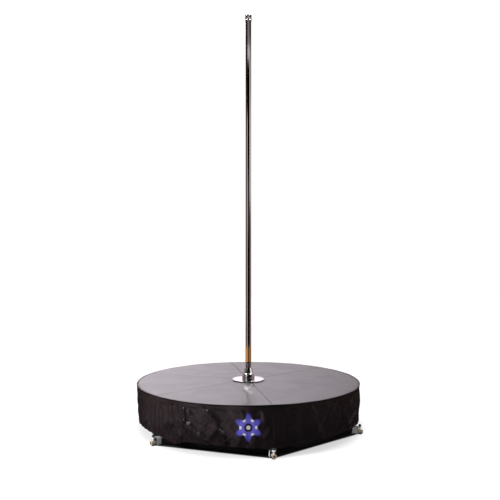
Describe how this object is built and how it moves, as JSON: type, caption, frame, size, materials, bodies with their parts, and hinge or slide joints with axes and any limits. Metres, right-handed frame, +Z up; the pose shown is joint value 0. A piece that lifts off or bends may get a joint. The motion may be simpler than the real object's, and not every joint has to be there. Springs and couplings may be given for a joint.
{
  "type": "dance pole",
  "caption": "Free-standing dance pole: a spinning steel pole on a low round stage with a fabric skirt, sector deck boards and levelling feet.",
  "frame": {"origin": "on the floor under the pole's axis, at the bottom centre of the model", "axes": "+Z up along the pole; leg 1 points along -Y"},
  "size_m": [1.7056, 1.774, 3.1903],
  "materials": {
    "frame_paint": "satin black powder coat",
    "zinc": "bright zinc plate",
    "pole_chrome": "mirror chrome",
    "polished_steel": "mirror polished steel",
    "bearing_steel": "ground steel",
    "bush_bronze": "plain bronze",
    "deck_board": "plywood covered in dark satin vinyl",
    "skirt_nylon": "black coated nylon",
    "pad_rubber": "matt black rubber",
    "lock_screw_steel": "black oxide"
  },
  "bodies": {
    "root": {"hub": "frame_paint", "lower_bush": "bush_bronze", "upper_bearing_outer_race": "bearing_steel", "flange_ring": "polished_steel", "leg_frame_1": "frame_paint", "end_fitting_1": "zinc", "side_frame_1": "frame_paint", "deck_panel_1": "deck_board", "skirt_panel_1": "skirt_nylon", "leg_frame_2": "frame_paint", "end_fitting_2": "zinc", "side_frame_2": "frame_paint", "deck_panel_2": "deck_board", "skirt_panel_2": "skirt_nylon", "leg_frame_3": "frame_paint", "end_fitting_3": "zinc", "side_frame_3": "frame_paint", "deck_panel_3": "deck_board", "skirt_panel_3": "skirt_nylon", "leg_frame_4": "frame_paint", "end_fitting_4": "zinc", "side_frame_4": "frame_paint", "deck_panel_4": "deck_board", "skirt_panel_4": "skirt_nylon", "leg_frame_5": "frame_paint", "end_fitting_5": "zinc", "side_frame_5": "frame_paint", "deck_panel_5": "deck_board", "skirt_panel_5": "skirt_nylon", "leg_frame_6": "frame_paint", "end_fitting_6": "zinc", "side_frame_6": "frame_paint", "deck_panel_6": "deck_board", "skirt_panel_6": "skirt_nylon"},
    "pole": {"spindle": "bearing_steel", "upper_bearing_inner_race": "bearing_steel", "pole_base_tube": "pole_chrome", "pole_joiner_1": "bearing_steel", "pole_middle_tube": "pole_chrome", "pole_joiner_2": "bearing_steel", "pole_extension_tube": "pole_chrome", "pole_joiner_3": "bearing_steel", "pole_top_tube": "pole_chrome", "pole_cap": "polished_steel"},
    "bearing_cage": {"upper_bearing_cage": "bearing_steel"},
    "collar": {"bell_collar": "polished_steel"},
    "lock_screw_1": {"spin_lock_screw_1": "lock_screw_steel"},
    "lock_screw_2": {"spin_lock_screw_2": "lock_screw_steel"},
    "foot_pad_1": {"foot_pad_1": "pad_rubber"},
    "foot_screw_1": {"foot_screw_1": "zinc"},
    "foot_pad_2": {"foot_pad_2": "pad_rubber"},
    "foot_screw_2": {"foot_screw_2": "zinc"},
    "foot_pad_3": {"foot_pad_3": "pad_rubber"},
    "foot_screw_3": {"foot_screw_3": "zinc"},
    "foot_pad_4": {"foot_pad_4": "pad_rubber"},
    "foot_screw_4": {"foot_screw_4": "zinc"},
    "foot_pad_5": {"foot_pad_5": "pad_rubber"},
    "foot_screw_5": {"foot_screw_5": "zinc"},
    "foot_pad_6": {"foot_pad_6": "pad_rubber"},
    "foot_screw_6": {"foot_screw_6": "zinc"}
  },
  "joints": [
    {"name": "pole_spin", "type": "hinge", "parent": "root", "child": "pole", "pos_m": [0, 0, 0.3495], "axis": [0, 0, 1], "continuous": true},
    {"name": "cage_spin", "type": "hinge", "parent": "root", "child": "bearing_cage", "pos_m": [0, 0, 0.3495], "axis": [0, 0, 1], "continuous": true},
    {"name": "collar_lift", "type": "slide", "parent": "root", "child": "collar", "axis": [0, 0, 1], "range_m": [0, 0.15]},
    {"name": "lock_screw_1_in", "type": "slide", "parent": "root", "child": "lock_screw_1", "axis": [-1, 0, 0], "range_m": [0, 0.0012]},
    {"name": "lock_screw_2_in", "type": "slide", "parent": "root", "child": "lock_screw_2", "axis": [1, 0, 0], "range_m": [0, 0.0012]},
    {"name": "foot_1_travel", "type": "slide", "parent": "root", "child": "foot_pad_1", "axis": [0, 0, -1], "range_m": [0, 0.012]},
    {"name": "foot_1_turn", "type": "hinge", "parent": "foot_pad_1", "child": "foot_screw_1", "pos_m": [0, -0.867, 0.03], "axis": [0, 0, -1], "range_deg": [0, 2160]},
    {"name": "foot_2_travel", "type": "slide", "parent": "root", "child": "foot_pad_2", "axis": [0, 0, -1], "range_m": [0, 0.012]},
    {"name": "foot_2_turn", "type": "hinge", "parent": "foot_pad_2", "child": "foot_screw_2", "pos_m": [0.75084, -0.4335, 0.03], "axis": [0, 0, -1], "range_deg": [0, 2160]},
    {"name": "foot_3_travel", "type": "slide", "parent": "root", "child": "foot_pad_3", "axis": [0, 0, -1], "range_m": [0, 0.012]},
    {"name": "foot_3_turn", "type": "hinge", "parent": "foot_pad_3", "child": "foot_screw_3", "pos_m": [0.75084, 0.4335, 0.03], "axis": [0, 0, -1], "range_deg": [0, 2160]},
    {"name": "foot_4_travel", "type": "slide", "parent": "root", "child": "foot_pad_4", "axis": [0, 0, -1], "range_m": [0, 0.012]},
    {"name": "foot_4_turn", "type": "hinge", "parent": "foot_pad_4", "child": "foot_screw_4", "pos_m": [0, 0.867, 0.03], "axis": [0, 0, -1], "range_deg": [0, 2160]},
    {"name": "foot_5_travel", "type": "slide", "parent": "root", "child": "foot_pad_5", "axis": [0, 0, -1], "range_m": [0, 0.012]},
    {"name": "foot_5_turn", "type": "hinge", "parent": "foot_pad_5", "child": "foot_screw_5", "pos_m": [-0.75084, 0.4335, 0.03], "axis": [0, 0, -1], "range_deg": [0, 2160]},
    {"name": "foot_6_travel", "type": "slide", "parent": "root", "child": "foot_pad_6", "axis": [0, 0, -1], "range_m": [0, 0.012]},
    {"name": "foot_6_turn", "type": "hinge", "parent": "foot_pad_6", "child": "foot_screw_6", "pos_m": [-0.75084, -0.4335, 0.03], "axis": [0, 0, -1], "range_deg": [0, 2160]}
  ],
  "couplings": [
    {"joint": "cage_spin", "follows": "pole_spin", "ratio": 0.39688},
    {"joint": "foot_1_turn", "follows": "foot_1_travel", "rad_per_m": 3141.6},
    {"joint": "foot_2_turn", "follows": "foot_2_travel", "rad_per_m": 3141.6},
    {"joint": "foot_3_turn", "follows": "foot_3_travel", "rad_per_m": 3141.6},
    {"joint": "foot_4_turn", "follows": "foot_4_travel", "rad_per_m": 3141.6},
    {"joint": "foot_5_turn", "follows": "foot_5_travel", "rad_per_m": 3141.6},
    {"joint": "foot_6_turn", "follows": "foot_6_travel", "rad_per_m": 3141.6}
  ]
}
